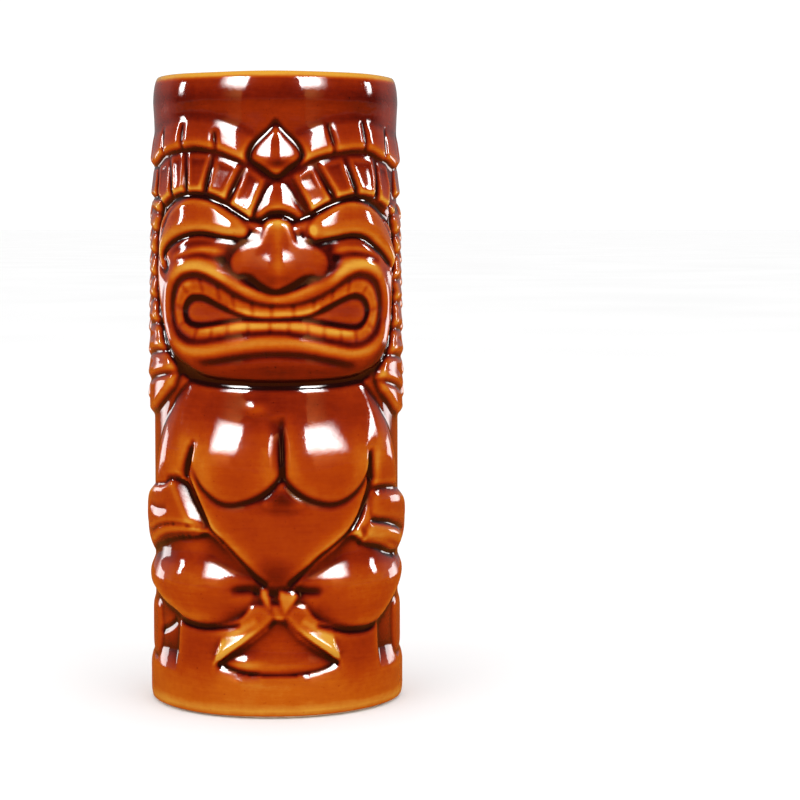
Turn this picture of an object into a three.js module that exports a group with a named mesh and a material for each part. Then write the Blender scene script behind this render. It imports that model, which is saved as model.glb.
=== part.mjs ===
import * as THREE from 'three';

// Tiki mug: a slip-cast clay cup with a carved-figure relief, a bare foot ring and three coats of glaze.
// Millimetres, +Z up, the face towards -Y. The origin is the centre of the foot, on the table.

// ---- Driving dimensions ----
const HEIGHT = 156;
const REFERENCE_RADIUS = 32; // distances round the wall are arc lengths at this radius
const RIM_RADIUS = 31.2;
const COLLAR_RADIUS = 30.7; // the slightly hollow band between the rim and the headdress
const GROUND_RADIUS = 30.1; // the surface that the relief stands on
const BASE_RADIUS = 31.4;
const BASE_HEIGHT = 10;
const CAVITY_RADIUS = 27.2; // holds 350 ml to the brim
const CAVITY_FLOOR = 5;
const CAVITY_FILLET = 4;
const COAT = 0.4; // thickness of the glaze, outside and inside
const UNDERSIDE_COAT = 0.3;
const LIP_HEIGHT = 2; // the rounded lip starts this far below the top
const BARE_FOOT = 1.5; // the outside glaze stops this high above the table
const FOOT_RADIUS = 30.2; // outer and inner edges of the flat ring that touches the table
const FOOT_INNER_RADIUS = 25;
const RECESS = 1.6; // the hollow inside the foot ring
const RECESS_RADIUS = 24;
const UNDERSIDE_RADIUS = 23.4;

// ---- Mesh density ----
const COLUMNS = 54;
const FRONT_DENSITY = 0.6; // 0 spreads the columns evenly, towards 1 crowds them at the front
const WALL_ROWS = 56;
const FACE_DENSITY = 0.4; // the same for the rows, which are crowded at the height of the face
const FACE_HEIGHT = 106;
const LIP_STEPS = 3;
const FILLET_STEPS = 4;
const CURVE_STEPS = 48;
const SOFTENING = 0.9; // the relief is averaged over this distance each way

// ---- Relief ----
// Each pad is a raised or sunken area: its outline runs through points [distance round the wall, height],
// level is how far it stands above the ground, and edge is the width of its sloping border.
// Pads are laid in this order, and a later one covers an earlier one. The right half is given, and the
// left half mirrors it. An outline that crosses the middle is listed from top to bottom.

const BACK = 110; // past the seam at the middle of the back

const centred = [
  {
    part: 'tiled headdress, all the way round',
    outline: [
      [0, 134], [7, 134.5], [14, 136.3], [24, 137.4], [34, 135], [42, 133.3], [60, 133], [BACK, 133],
      [BACK, 125.5], [60, 125.5], [42, 125], [37, 121], [30, 124.3], [20, 126.2], [11, 122.5], [0, 121],
    ],
    level: 1.9,
    edge: 1.5,
  },
  {
    part: 'face',
    outline: [
      [0, 120.5], [20, 121], [36, 119], [37.5, 110], [35.3, 100], [32, 90], [25, 84.3], [12, 82.5],
      [0, 82.2],
    ],
    level: 1.1,
    edge: 2,
  },
  {
    part: 'torso',
    outline: [
      [0, 80], [14, 80.3], [25, 79], [32, 73], [38, 64], [41, 56], [44, 44], [44, 36], [40, 28], [30, 22],
      [16, 20], [0, 23],
    ],
    level: 0.9,
    edge: 2.4,
  },
  {
    part: 'pedestal under the crossed feet',
    outline: [[0, 22], [8, 18], [15, 13.3], [13, 11.3], [0, 9.8]],
    level: 1.9,
    edge: 1.6,
  },
];

const paired = [
  {
    part: 'hair',
    outline: [
      [37.8, 122], [40, 112], [37, 104], [35, 94], [31, 85], [30.5, 79], [42, 72.5], [60, 77], [BACK, 77],
      [BACK, 124.5], [60, 124.5], [43, 124.5],
    ],
    level: 2.3,
    edge: 1.6,
  },
  {
    part: 'brow',
    outline: [
      [4, 118.5], [12, 121.8], [20, 124.3], [28, 122], [33.5, 118.5], [36.5, 112], [34.5, 109], [30, 113.5],
      [22, 116.2], [10, 115],
    ],
    level: 3,
    edge: 2.6,
  },
  {
    part: 'eye hollow',
    outline: [
      [11, 112.5], [15, 114], [22, 114.3], [29, 111.8], [33, 109], [28, 108.6], [22, 110.3], [15, 110],
    ],
    level: 0.4,
    edge: 1.6,
  },
  {
    part: 'cheek',
    outline: [
      [12, 108], [20, 110.5], [28, 109.5], [33.5, 105], [34, 98], [32.5, 95], [30.5, 103], [24, 108.5],
      [17, 107],
    ],
    level: 2.2,
    edge: 2,
  },
  {
    part: 'breast',
    outline: [
      [1.8, 73], [3, 57.5], [8, 53.2], [14, 52.2], [20, 55], [23.3, 60], [23.5, 67], [20, 75], [9, 77],
    ],
    level: 2.8,
    edge: 5,
  },
  {
    part: 'upper arm',
    outline: [[25.5, 67], [27, 57], [34, 55], [44, 54.5], [53, 53], [54, 61], [46, 69], [37, 71], [30, 74]],
    level: 2.3,
    edge: 3,
  },
  {
    part: 'forearm and hand',
    outline: [
      [24, 51.5], [25.5, 46], [24.5, 42.5], [30, 40], [38, 37.3], [47, 38.5], [53, 46], [52, 51], [42, 53],
      [31, 53.5],
    ],
    level: 2.3,
    edge: 2,
  },
  {
    part: 'thigh',
    outline: [
      [8, 34.5], [15, 41], [22, 41.5], [30, 38.5], [38, 35.7], [46, 35.5], [46, 32], [40, 28.5], [32, 23.8],
      [24, 21.2], [14, 22.8], [9, 27],
    ],
    level: 3,
    edge: 4.5,
  },
  {
    part: 'crossed shin and foot',
    outline: [[1, 25.5], [8, 23.5], [13, 19.7], [18, 15], [13, 15.2], [6, 20]],
    level: 2.6,
    edge: 2,
  },
];

const front = [
  {
    part: 'forehead gem',
    outline: [[0, 142.5], [5.8, 135.8], [0, 130.5]],
    level: 2.9,
    edge: 1.6,
  },
  {
    part: 'nose',
    outline: [
      [0, 121], [4, 119], [5.5, 115], [10.5, 114], [13, 110.3], [12, 107.2], [7.5, 106.6], [4, 104.8],
      [0, 103.8],
    ],
    level: 3.8,
    edge: 4,
  },
  {
    part: 'lips',
    outline: [
      [0, 102], [8, 104], [17, 108.6], [24, 109.8], [30, 106.5], [32, 100], [30.5, 93], [25, 89],
      [14, 88.2], [0, 90],
    ],
    level: 3.1,
    edge: 1.8,
  },
  {
    part: 'open mouth',
    outline: [
      [0, 100], [8, 101.2], [18, 106.3], [25, 107], [28.5, 102], [27.5, 94.5], [22, 91.2], [12, 91.8],
      [0, 93],
    ],
    level: 0.8,
    edge: 1.8,
  },
  {
    part: 'teeth',
    outline: [
      [0, 99], [8, 99.8], [18, 104.6], [24, 103.8], [26.6, 99.5], [25, 94.5], [18, 92.6], [8, 93.4],
      [0, 94],
    ],
    level: 2,
    edge: 1.6,
  },
];

// A closed curve through an outline's points.
function closedCurve(points) {
  const path = points.map(([x, z]) => new THREE.Vector3(x, z, 0));
  return new THREE.CatmullRomCurve3(path, true, 'centripetal').getPoints(CURVE_STEPS);
}

// The right half of an outline, joined to its mirror image.
function wholeOutline(points) {
  const leftHalf = points
    .filter(([x]) => x > 0)
    .map(([x, z]) => [-x, z])
    .reverse();
  return [...points, ...leftHalf];
}

// How far a point lies inside a closed curve: negative outside.
function depthInside(curve, x, z) {
  let nearest = Infinity;
  let inside = false;
  for (let i = 0, j = curve.length - 1; i < curve.length; j = i++) {
    const a = curve[j];
    const b = curve[i];
    const dx = b.x - a.x;
    const dz = b.y - a.y;
    const projected = ((x - a.x) * dx + (z - a.y) * dz) / (dx * dx + dz * dz || 1);
    const along = THREE.MathUtils.clamp(projected, 0, 1);
    nearest = Math.min(nearest, Math.hypot(x - a.x - along * dx, z - a.y - along * dz));
    if (a.y > z !== b.y > z && x < a.x + ((z - a.y) * dx) / dz) inside = !inside;
  }
  return inside ? nearest : -nearest;
}

const pads = [
  ...centred.map((pad) => ({ ...pad, curve: closedCurve(wholeOutline(pad.outline)) })),
  ...paired.map((pad) => ({ ...pad, curve: closedCurve(pad.outline) })),
  ...front.map((pad) => ({ ...pad, curve: closedCurve(wholeOutline(pad.outline)) })),
];

// Height of the pads above the ground, for a distance round the wall and a height.
function padLevel(x, z) {
  let level = 0;
  for (const pad of pads) {
    const depth = depthInside(pad.curve, Math.abs(x), z);
    const cover = THREE.MathUtils.smoothstep(depth, -pad.edge / 2, pad.edge / 2);
    level = THREE.MathUtils.lerp(level, pad.level, cover);
  }
  return level;
}

// The relief: the pads with their edges and corners softened.
function relief(x, z) {
  const offsets = [[0, 0], [SOFTENING, 0], [-SOFTENING, 0], [0, SOFTENING], [0, -SOFTENING]];
  const levels = offsets.map(([dx, dz]) => padLevel(x + dx, z + dz));
  return levels.reduce((sum, level) => sum + level, 0) / levels.length;
}

// Radius of the ground: the base band, the wall, and the collar that widens to the rim.
function groundRadius(z) {
  const { smoothstep, lerp } = THREE.MathUtils;
  const wall = lerp(BASE_RADIUS, GROUND_RADIUS, smoothstep(z, BASE_HEIGHT - 0.5, BASE_HEIGHT + 4));
  const collar = lerp(wall, COLLAR_RADIUS, smoothstep(z, 132, 139));
  return lerp(collar, RIM_RADIUS, smoothstep(z, 144, HEIGHT - LIP_HEIGHT));
}

// ---- Profiles ----
// A profile point is [radius, height]. A third value marks a point of the relief, and says how deep it lies
// under the glazed surface.

const LIP_BASE = HEIGHT - LIP_HEIGHT;
const LIP_CREST_RADIUS = (RIM_RADIUS + CAVITY_RADIUS) / 2;

// Points along a quarter circle or ellipse: from straight above its centre round to its side.
function quarter(centreRadius, centreHeight, width, rise, steps) {
  return Array.from({ length: steps + 1 }, (_, i) => {
    const turn = ((i / steps) * Math.PI) / 2;
    return [centreRadius + width * Math.sin(turn), centreHeight + rise * Math.cos(turn)];
  });
}

// Half of the rounded lip, from its crest to its outer or inner side.
function lip(side, depth) {
  return quarter(LIP_CREST_RADIUS, LIP_BASE, side - LIP_CREST_RADIUS, LIP_HEIGHT - depth, LIP_STEPS);
}

// Moves an even fraction of the wall's height so that the rows crowd at the face.
function crowded(fraction) {
  const face = (FACE_HEIGHT - BARE_FOOT) / (LIP_BASE - BARE_FOOT);
  const wave = Math.sin(2 * Math.PI * (fraction - face)) + Math.sin(2 * Math.PI * face);
  return fraction - (FACE_DENSITY / (2 * Math.PI)) * wave;
}

// The outside of the cup, from the edge of the bare foot up to the lip's crest.
function outsideSurface(depth) {
  const wall = Array.from({ length: WALL_ROWS }, (_, i) => {
    const z = THREE.MathUtils.lerp(BARE_FOOT, LIP_BASE, crowded(i / WALL_ROWS));
    return [groundRadius(z), z, depth];
  });
  return [...wall, ...lip(RIM_RADIUS - depth, depth).reverse()];
}

// The inside of the cup, from the lip's crest down to the middle of the floor.
function insideSurface(depth) {
  const fillet = quarter(
    CAVITY_RADIUS - CAVITY_FILLET,
    CAVITY_FLOOR + CAVITY_FILLET,
    CAVITY_FILLET + depth,
    -CAVITY_FILLET - depth,
    FILLET_STEPS,
  );
  return [...lip(CAVITY_RADIUS + depth, depth), ...fillet.reverse(), [0, CAVITY_FLOOR - depth]];
}

// Splits the quads of each falling stretch along their other diagonal, so that a rising and a falling skin
// that follow the same surface share its facets.
function matchDiagonals(geometry, profile) {
  const heightOf = (vertex) => profile[vertex % profile.length][1];
  const index = geometry.index;
  for (let i = 0; i < index.count; i += 6) {
    const [a, b, d, c] = index.array.slice(i, i + 4);
    if (heightOf(d) < heightOf(a)) index.array.set([a, b, c, a, c, d], i);
  }
}

// Turns a profile round the axis, crowds the columns towards the face and raises the relief.
function turned(name, profile, material) {
  const geometry = new THREE.LatheGeometry(
    profile.map(([radius, height]) => new THREE.Vector2(radius, height)),
    COLUMNS,
  );
  const position = geometry.attributes.position;
  for (let i = 0; i < position.count; i++) {
    const [radius, height, depth] = profile[i % profile.length];
    const turn = (2 * Math.PI * Math.floor(i / profile.length)) / COLUMNS;
    const angle = turn - FRONT_DENSITY * Math.sin(turn);
    const fromFront = angle > Math.PI ? angle - 2 * Math.PI : angle;
    const raised = depth === undefined ? 0 : relief(fromFront * REFERENCE_RADIUS, height) - depth;
    const reach = radius + raised;
    position.setXYZ(i, reach * Math.sin(angle), -reach * Math.cos(angle), height);
  }
  matchDiagonals(geometry, profile);
  geometry.deleteAttribute('uv');
  geometry.computeVertexNormals();
  const mesh = new THREE.Mesh(geometry, material);
  mesh.name = name;
  return mesh;
}

// ---- Materials ----

const clay = new THREE.MeshStandardMaterial({ color: 0xd8bc96, roughness: 0.85, metalness: 0 });
const brownGlaze = new THREE.MeshStandardMaterial({ color: 0x8c3510, roughness: 0.08, metalness: 0 });
const linerGlaze = new THREE.MeshStandardMaterial({ color: 0x9a4416, roughness: 0.1, metalness: 0 });

// ---- Pieces ----

function clayBody() {
  const profile = [
    [0, RECESS],
    [RECESS_RADIUS, RECESS],
    [FOOT_INNER_RADIUS, 0],
    [FOOT_RADIUS, 0],
    ...outsideSurface(COAT),
    ...insideSurface(COAT).slice(1),
  ];
  return turned('clay_body', profile, clay);
}

function outsideGlaze() {
  const exposed = outsideSurface(0);
  const against = outsideSurface(COAT).reverse();
  return turned('outside_glaze', [...exposed, ...against, exposed[0]], brownGlaze);
}

function insideGlaze() {
  return turned('inside_glaze', [...insideSurface(COAT).reverse(), ...insideSurface(0)], linerGlaze);
}

function undersideGlaze() {
  const profile = [
    [0, RECESS - UNDERSIDE_COAT],
    [UNDERSIDE_RADIUS, RECESS - UNDERSIDE_COAT],
    [UNDERSIDE_RADIUS, RECESS],
    [0, RECESS],
  ];
  return turned('underside_glaze', profile, linerGlaze);
}

const mug = new THREE.Group();
mug.add(clayBody(), outsideGlaze(), insideGlaze(), undersideGlaze());

export default mug;
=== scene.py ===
import math

import bpy
import numpy as np
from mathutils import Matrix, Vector


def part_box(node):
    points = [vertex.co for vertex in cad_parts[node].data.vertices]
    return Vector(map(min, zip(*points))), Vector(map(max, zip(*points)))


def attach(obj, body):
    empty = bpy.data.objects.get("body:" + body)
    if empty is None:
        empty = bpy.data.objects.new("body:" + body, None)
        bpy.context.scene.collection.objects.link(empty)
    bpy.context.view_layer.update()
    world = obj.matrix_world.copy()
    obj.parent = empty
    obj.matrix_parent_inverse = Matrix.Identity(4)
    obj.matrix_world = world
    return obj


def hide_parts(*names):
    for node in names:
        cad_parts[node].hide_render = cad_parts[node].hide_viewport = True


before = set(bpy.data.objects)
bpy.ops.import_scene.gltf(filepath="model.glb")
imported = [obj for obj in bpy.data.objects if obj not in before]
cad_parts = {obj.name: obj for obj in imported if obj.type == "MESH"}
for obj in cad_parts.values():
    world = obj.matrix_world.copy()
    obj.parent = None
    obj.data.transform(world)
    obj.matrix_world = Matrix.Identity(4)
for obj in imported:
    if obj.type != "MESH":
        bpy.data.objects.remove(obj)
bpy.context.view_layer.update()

# Tiki mug: the cast clay with its relief, the glaze that pools in the grooves and breaks on the edges, the
# liner and the glazed recess under the foot. The relief is worked out in millimetres on the unrolled wall:
# x is the arc at REFERENCE_RADIUS from the middle of the face, positive to the viewer's right, and z is the
# height.

MM = 0.001
REFERENCE_RADIUS = 32.0
TURN = 2 * math.pi * REFERENCE_RADIUS
CORE_RADIUS = 30.0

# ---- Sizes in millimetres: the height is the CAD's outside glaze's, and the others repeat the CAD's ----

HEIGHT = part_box("outside_glaze")[1][2] / MM
CAVITY_FLOOR = 5.0
CAVITY_RADIUS = 27.2
CAVITY_FILLET = 4.0
RIM_RADIUS = 31.2
FOOT_RADIUS = 30.2
FOOT_INNER_RADIUS = 25.0
RECESS_RADIUS = 24.0
RECESS = 1.6
UNDERSIDE_RADIUS = 23.4
COAT = 0.4
# How deep the clay lies under the glaze's face, in general and at the coat's lower edge.
CLAY_DEPTH = 0.46
EDGE_DEPTH = 0.42
# How much slimmer the upper wall is than the CAD's, to follow the photograph.
SLIMMER = 0.85

# ---- The unrolled wall ----

CELL = 0.25
COLUMNS = round(TURN / CELL)
wall_x = (np.arange(COLUMNS) + 0.5) * TURN / COLUMNS - TURN / 2
wall_z = np.arange(0.0, HEIGHT + CELL, CELL)
relief = np.zeros((len(wall_z), len(wall_x)))


def spline(points, closed=False, steps=8):
    """A Catmull-Rom curve through the points, as an array of points."""
    p = np.array(points, float)
    if closed:
        p = np.vstack([p[-1], p, p[0], p[1]])
    else:
        p = np.vstack([2 * p[0] - p[1], p, 2 * p[-1] - p[-2]])
    t = np.linspace(0, 1, steps, endpoint=False)[:, None]
    parts = []
    for a, b, c, d in zip(p[:-3], p[1:-2], p[2:-1], p[3:]):
        bend = 2 * a - 5 * b + 4 * c - d
        twist = 3 * b - a - 3 * c + d
        parts.append(0.5 * (2 * b + (c - a) * t + bend * t**2 + twist * t**3))
    if not closed:
        parts.append(p[-2][None])
    return np.vstack(parts)


def windows(path, margin):
    """The stretch of wall near a path: the path, the cells' indices and their x and z. Past the back seam
    there is a second stretch, with the path shifted to match it."""
    for shift in (-TURN, 0.0, TURN):
        q = path + (shift, 0)
        low, high = q.min(0) - margin, q.max(0) + margin
        i = slice(*np.searchsorted(wall_x, (low[0], high[0])))
        j = slice(*np.searchsorted(wall_z, (low[1], high[1])))
        if i.stop > i.start and j.stop > j.start:
            yield q, i, j, *np.meshgrid(wall_x[i], wall_z[j])


def measure(q, x, z, closed):
    """Distance to the path q, which is negative outside a closed path, and how far along it the nearest point
    is, from 0 to 1."""
    nearest = np.full(x.shape, 1e9)
    along = np.zeros(x.shape)
    inside = np.zeros(x.shape, bool)
    ends = np.roll(q, -1, 0) if closed else q[1:]
    starts = q if closed else q[:-1]
    lengths = np.hypot(*(ends - starts).T)
    travelled = np.concatenate([[0], np.cumsum(lengths)])
    for k, (a, b) in enumerate(zip(starts, ends)):
        d = b - a
        t = np.clip(((x - a[0]) * d[0] + (z - a[1]) * d[1]) / max(d @ d, 1e-12), 0, 1)
        distance = np.hypot(x - a[0] - t * d[0], z - a[1] - t * d[1])
        closer = distance < nearest
        nearest = np.where(closer, distance, nearest)
        along = np.where(closer, travelled[k] + t * lengths[k], along)
        if closed and d[1] != 0:
            crosses = (a[1] > z) != (b[1] > z)
            inside ^= crosses & (x < a[0] + (z - a[1]) * d[0] / d[1])
    if closed:
        nearest = np.where(inside, nearest, -nearest)
    return nearest, along / travelled[-1]


def smooth(t):
    """A soft step from 0 to 1."""
    t = np.clip(t, 0, 1)
    return t * t * (3 - 2 * t)


def eased(x, places, levels, reach=2.0):
    """A profile through the levels at the places, with its corners rounded off."""
    return sum(np.interp(x + step * reach, places, levels) for step in (-1, -0.5, 0, 0.5, 1)) / 5


def rounded(t):
    """The quarter-round profile of an edge: steep at its foot, flat at its top."""
    t = np.clip(t, 0, 1)
    return np.sqrt(t * (2 - t))


def pad(outline, level, edge, crown=0.0, dish=0.0, lean=0.0, curved=True, foot=None):
    """A raised or sunken field. level is its height above the core at the end of its rounded edge, as a
    number or a function of x and z. crown swells its middle, dish hollows it and leaves a rim, and lean
    tips it, per millimetre of z. Its edge starts from the relief there, or from foot where that is lower."""
    path = spline(outline, True) if curved else np.array(outline, float)
    middle_z = path[:, 1].mean()
    for q, i, j, x, z in windows(path, 1.0):
        depth, _ = measure(q, x, z, True)
        deepest = max(depth.max(), 1e-6)
        under = relief[j, i]
        top = level(x, z) if callable(level) else level + lean * (z - middle_z)
        top = top + crown * rounded(depth / deepest)
        top = top - dish * smooth((depth - edge * 0.6) / (edge * 1.2))
        low = under if foot is None else np.minimum(under, foot)
        relief[j, i] = np.where(depth > 0, low + (top - low) * rounded(depth / edge), under)


def swell(centre, size, height, turn=0.0, field=relief):
    """A soft round swelling added to the relief, or to another field of the wall."""
    c, s = math.cos(math.radians(turn)), math.sin(math.radians(turn))
    path = np.array([centre], float)
    for q, i, j, x, z in windows(path, 3 * max(size)):
        dx, dz = x - q[0][0], z - q[0][1]
        u, v = (dx * c + dz * s) / size[0], (-dx * s + dz * c) / size[1]
        field[j, i] += height * np.exp(-(u * u + v * v))


def taper(along, ends):
    """Fades a stroke out towards its ends: ends is the share of its length that each end takes to fade."""
    grow = np.ones_like(along)
    if ends[0]:
        grow = grow * rounded(along / ends[0])
    if ends[1]:
        grow = grow * rounded((1 - along) / ends[1])
    return grow


def stroke(points, width, height, ends=(0.1, 0.1), sharp=2.0, field=relief):
    """A ridge, or with a negative height a groove, along a curve. width is its half width, ends is as in
    taper, and a higher sharp makes its sides steeper."""
    path = spline(points)
    for q, i, j, x, z in windows(path, 3.5 * width):
        distance, along = measure(q, x, z, False)
        field[j, i] += height * taper(along, ends) * np.exp(-((distance / width) ** sharp))


def blurred(field, radius):
    """A Gaussian blur that wraps round the mug."""
    rows = len(field)
    padded = np.vstack([np.repeat(field[:1], rows // 4, 0), field, np.repeat(field[-1:], rows // 4, 0)])
    fz = np.fft.fftfreq(padded.shape[0], CELL)[:, None]
    fx = np.fft.rfftfreq(padded.shape[1], TURN / COLUMNS)[None]
    soft = np.exp(-2 * (math.pi * radius) ** 2 * (fz**2 + fx**2))
    return np.fft.irfft2(np.fft.rfft2(padded) * soft, padded.shape)[rows // 4 : rows // 4 + rows]


# ---- Ground: base band, wall, collar and rim ----

ground = np.interp(
    wall_z,
    [0, 1.2, 2.2, 9.5, 12, 15, 131, 138, 146, 151, HEIGHT],
    [1.4, 1.75, 1.9, 1.9, 1.4, 0.7, 0.7, 1.0, 1.3, 1.6, 1.6],
)
relief += ground[:, None]

# ---- Headdress: the band of tiles between two grooves, and the notched tier above it ----

upper_groove = [
    (-100.5, 134.2), (-84, 135), (-68, 134), (-54, 134.8), (-46, 134), (-40, 134.5), (-36, 136.3),
    (-32, 137), (-28, 137.5), (-22, 138), (-18, 137.5), (-14.5, 136.9), (-11, 135.5), (-7.4, 134),
    (-3.5, 131.6), (0, 130.2), (3, 131.3), (6, 133.4), (10, 135.2), (14, 136.3), (18, 137), (22, 137.4),
    (25, 137.4), (28, 136.8), (32, 135.5), (35, 135), (38, 134), (42, 133.2), (50, 134.2), (64, 133.8),
    (82, 135), (100.5, 134.2),
]
lower_groove = [
    (-100.5, 125.2), (-84, 126), (-68, 125), (-54, 125.8), (-46, 126), (-38, 125), (-35, 123.6),
    (-31, 125.5), (-27, 126.6), (-22, 126.8), (-18, 126.3), (-14, 124.8), (-10, 122.5), (-7, 120.5),
    (-4, 119.3), (0, 119), (4, 119.2), (6, 119.8), (8, 121.5), (11, 122.8), (15, 124.8), (19, 125.8),
    (22, 126), (26, 125.3), (30, 124), (34, 122), (38, 120.5), (43, 123.5), (50, 125.2), (64, 124.8),
    (82, 126), (100.5, 125.2),
]

# The tier above the upper groove swells out on its way down to it, and short notches cut it into blocks. even
# is the height above the groove, averaged along the wall.
TIER_SWELL = 1.35
TIER_HEIGHT = 8.9
upper_line = spline(upper_groove)
drop = wall_z[:, None] - np.interp(wall_x, upper_line[:, 0], upper_line[:, 1])[None]
even = np.mean([np.roll(drop, step, 1) for step in range(-28, 29, 4)], 0)
tier = np.clip(1 - (even - 1.4) / 7.5, 0, 1) * rounded(drop / 1.5)
relief += TIER_SWELL * np.where(drop > 0, tier, 0) * smooth((TIER_HEIGHT - even) / 3)
TIER_NOTCHES = [
    [(-35.5, 143), (-35.3, 137.5)], [(-26.2, 144), (-26.6, 138.3)], [(-16, 142), (-15.6, 138)],
    [(13.4, 143.6), (15.3, 137.2)], [(24.2, 144.4), (25.3, 138)], [(34.5, 143), (34, 136.5)],
]
for side in (-1, 1):
    TIER_NOTCHES += [[(side * x, 142.5), (side * (x + 0.4), 135.3)] for x in (45, 55, 66, 77, 88, 99)]
for notch in TIER_NOTCHES:
    stroke(notch, 0.6, -0.8, (0.85, 0), 2.2)

band = upper_groove + lower_groove[::-1]
pad(band, 1.1, 0.8, curved=False)

# The tiles: their corners, from which outlines with rounded corners are made.
TILE = 2.0
tiles = [
    [(-7.3, 133), (-2.8, 129.9), (-6.3, 121.2), (-11.5, 124.4)],
    [(-15.8, 135.4), (-9.2, 133.3), (-12.9, 125.7), (-17.8, 127.5)],
    [(-24.7, 136.5), (-17.3, 136.1), (-19.5, 127.6), (-24.2, 127.6)],
    [(-31.7, 135.8), (-26.3, 136.4), (-25.5, 127.6), (-30.2, 126.8)],
    [(-39, 133.3), (-33.2, 135.2), (-31.6, 126.6), (-35.5, 124.8), (-38.6, 127)],
    [(4.5, 130.9), (9.4, 133.2), (14, 125.4), (8.9, 122.9)],
    [(11, 134), (17.6, 135.3), (21.1, 127.2), (15.9, 126)],
    [(19.7, 135.5), (28.1, 135.3), (29.2, 131), (28.6, 126.4), (22.8, 127)],
    [(30.4, 134.6), (35.3, 133.7), (37, 129.2), (35.2, 123.8), (30.7, 125.6)],
]
for side in (-1, 1):
    for x in (44.2, 53.2, 62.2, 71.2, 80.2, 89.2, 97.5):
        corners = [(x - 3.8, 133), (x + 3.2, 133.3), (x + 3.4, 127), (x - 3.6, 126.6)]
        tiles.append([(side * corner_x, corner_z) for corner_x, corner_z in corners])
for tile in tiles:
    corners = np.array(tile, float)
    middle = corners.mean(0)
    outline = []
    for corner, following in zip(corners, np.roll(corners, -1, 0)):
        run = following - corner
        outline += [corner + 0.02 * (middle - corner), corner + 0.22 * run, corner + 0.78 * run]
    outline = [middle + 1.06 * (point - middle) for point in outline]
    pad(outline, TILE, 1.0, dish=0.36, lean=-0.13, foot=1.0)

keystone = [
    (-1.2, 129.4), (0.7, 129.8), (2.3, 129.3), (4.6, 125.8), (7, 121.6), (5.6, 120.9), (4.3, 121.7),
    (2.2, 122.5), (0.3, 122.7), (-1.8, 122.3), (-3.8, 121), (-5.6, 121.4), (-3.8, 125.4),
]


def keystone_level(x, z):
    """The keystone has a soft ridge down its middle and sinks upwards."""
    return 2.9 - 0.2 * np.sqrt((x - 0.5) ** 2 + 0.5) - 0.16 * (z - 121)


def gem_level(x, z):
    """The gem is a low pyramid, highest at its middle."""
    fall = 0.17 * np.maximum(z - 135, 0) + 0.1 * np.maximum(135 - z, 0)
    return 3.0 - 0.24 * np.sqrt(x * x + 0.6) - fall


pad(keystone, keystone_level, 1.0, foot=0.7)

gem_seat = [
    (0, 144.8), (2.8, 141.9), (6.4, 138.8), (7.4, 135), (3.6, 131.8), (0.1, 129.9), (-3.7, 131.7),
    (-7.8, 134.6), (-6.8, 138.8), (-2.6, 142.4),
]
pad(gem_seat, 0.8, 1.0)
gem = [
    (0.1, 142.9), (2.6, 140.5), (5.4, 138), (6.2, 135.6), (3.2, 133), (0.1, 131.2), (-3.2, 133),
    (-6.2, 135.3), (-5.4, 138), (-2.2, 140.9),
]
pad(gem, gem_level, 1.0, foot=0.7)

# ---- Hair: locks of stacked blocks, from the headdress down past the jaw and round the back ----

hair_left = [
    (-36, 126), (-37.5, 121), (-40.3, 117), (-41, 112), (-40.5, 107), (-40.4, 103), (-39.2, 99),
    (-37.2, 95), (-34.2, 90.5), (-29.2, 86.4), (-27.8, 83.4), (-29.5, 79.8), (-35, 76.3), (-40, 73.6),
    (-52, 71.5), (-66, 73.2), (-84, 71.8), (-100.5, 73),
]
hair_right = [
    (36.5, 125), (38.5, 120), (40, 117), (40.5, 112), (39.6, 108.5), (37.5, 106), (39.4, 103), (38.6, 98),
    (37, 93), (34.8, 88.8), (30.2, 85), (28.3, 81.8), (30.5, 78.3), (38, 73.2), (42, 71.8), (54, 71.5),
    (66, 73.2), (84, 71.8), (100.5, 73),
]
# Each field of hair hangs from the headdress's lower edge, between the face and the back.
for field in (lower_groove[:5] + hair_left, lower_groove[:-6:-1] + hair_right):
    pad(field, 2.1, 2.2, curved=False, foot=0.1)


def lock_cut(points):
    """Cuts a lock across: the lower edge of the block above the cut stands proud of the one below."""
    stroke(points, 0.75, -0.65, (0.12, 0.12))
    stroke([(x, z + 1.8) for x, z in points], 1.3, 0.32, (0.12, 0.12))


# The cuts beside the face, each as its inner end and its height at the first full lock.
FIRST_LOCK = 47
for x_in, z_in, z_out in (
    (-37, 121.8, 123.5), (-38.6, 116.8, 118.2), (-39.2, 111.3, 112.2), (-37.8, 105.8, 106.6),
    (-36.3, 100.6, 100.8), (-34, 94.8, 94.8), (-30.8, 88.5, 87.2), (-27.5, 83.6, 80.3),
    (37.5, 121.2, 123), (38.8, 116, 117.5), (38.8, 111.3, 112), (36.6, 105.2, 105.8),
    (35.8, 99.8, 99.8), (34.4, 93.4, 93.2), (32, 87.2, 86), (28.4, 81.6, 77.2),
):
    x_out = math.copysign(FIRST_LOCK, x_in)
    lock_cut([(x_in, z_in), ((x_in + x_out) / 2, (z_in + z_out) / 2 + 0.3), (x_out, z_out)])

# The full locks, whose blocks are staggered from one lock to the next.
BLOCK = 5.6
for side in (-1, 1):
    for lock, x in enumerate((47.5, 58.5, 69.5, 80.5, 91.5)):
        stroke([(side * x, 124.8), (side * (x + 0.5), 100), (side * x, 74.5)], 0.8, -1.2, (0, 0.04))
        for step in range(9):
            z = 120.2 - BLOCK * step + (BLOCK / 2 if lock % 2 else 0.0)
            if z > 73:
                lock_cut([(side * (x + 0.7), z), (side * (x + 5.5), z - 0.9), (side * (x + 10.4), z)])

# ---- Torso: shoulders, arms, chest and belly ----

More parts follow.
